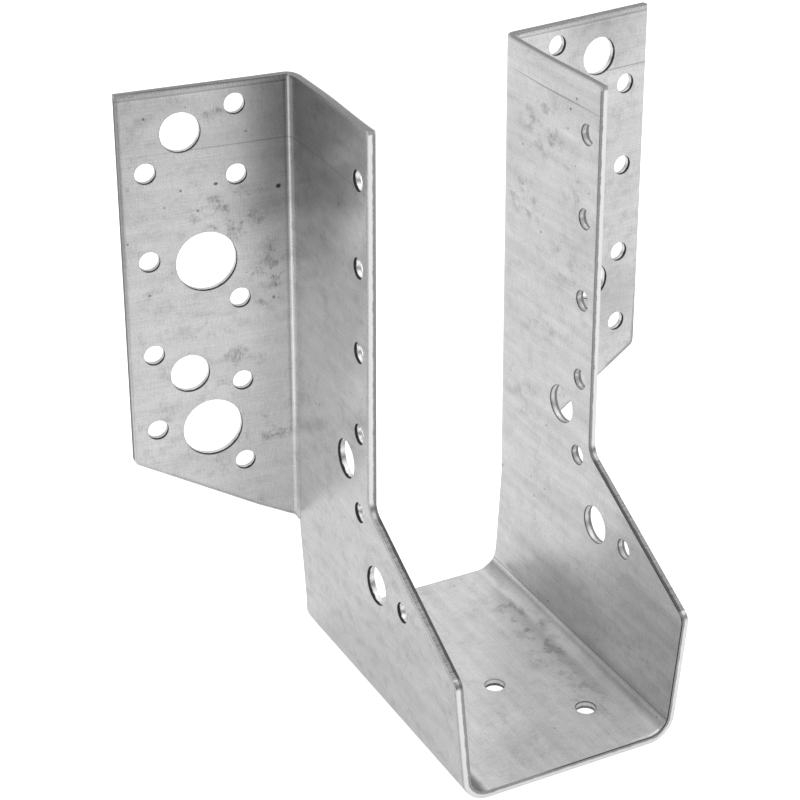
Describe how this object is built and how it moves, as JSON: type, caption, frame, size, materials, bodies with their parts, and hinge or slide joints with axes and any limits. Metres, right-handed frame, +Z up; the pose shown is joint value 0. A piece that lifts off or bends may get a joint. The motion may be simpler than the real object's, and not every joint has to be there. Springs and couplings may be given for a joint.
{
  "type": "joist hanger",
  "caption": "Face-mounted timber joist hanger folded from one zinc-coated sheet: a seat, two flared cheeks and two outward header flanges, punched for nails, screws and anchor bolts.",
  "frame": {"origin": "under the middle of the plan of the whole hanger, at the level of the seat's underside", "axes": "+Z up, +Y back towards the header that the flanges are fixed to, +X to the right when looking at the header"},
  "size_m": [0.1414, 0.0902, 0.15],
  "materials": {
    "galvanised_steel": "hot-dip galvanised sheet, satin grey with a faint rolling direction"
  },
  "bodies": {
    "root": {"joist_hanger": "galvanised_steel"}
  },
  "joints": []
}
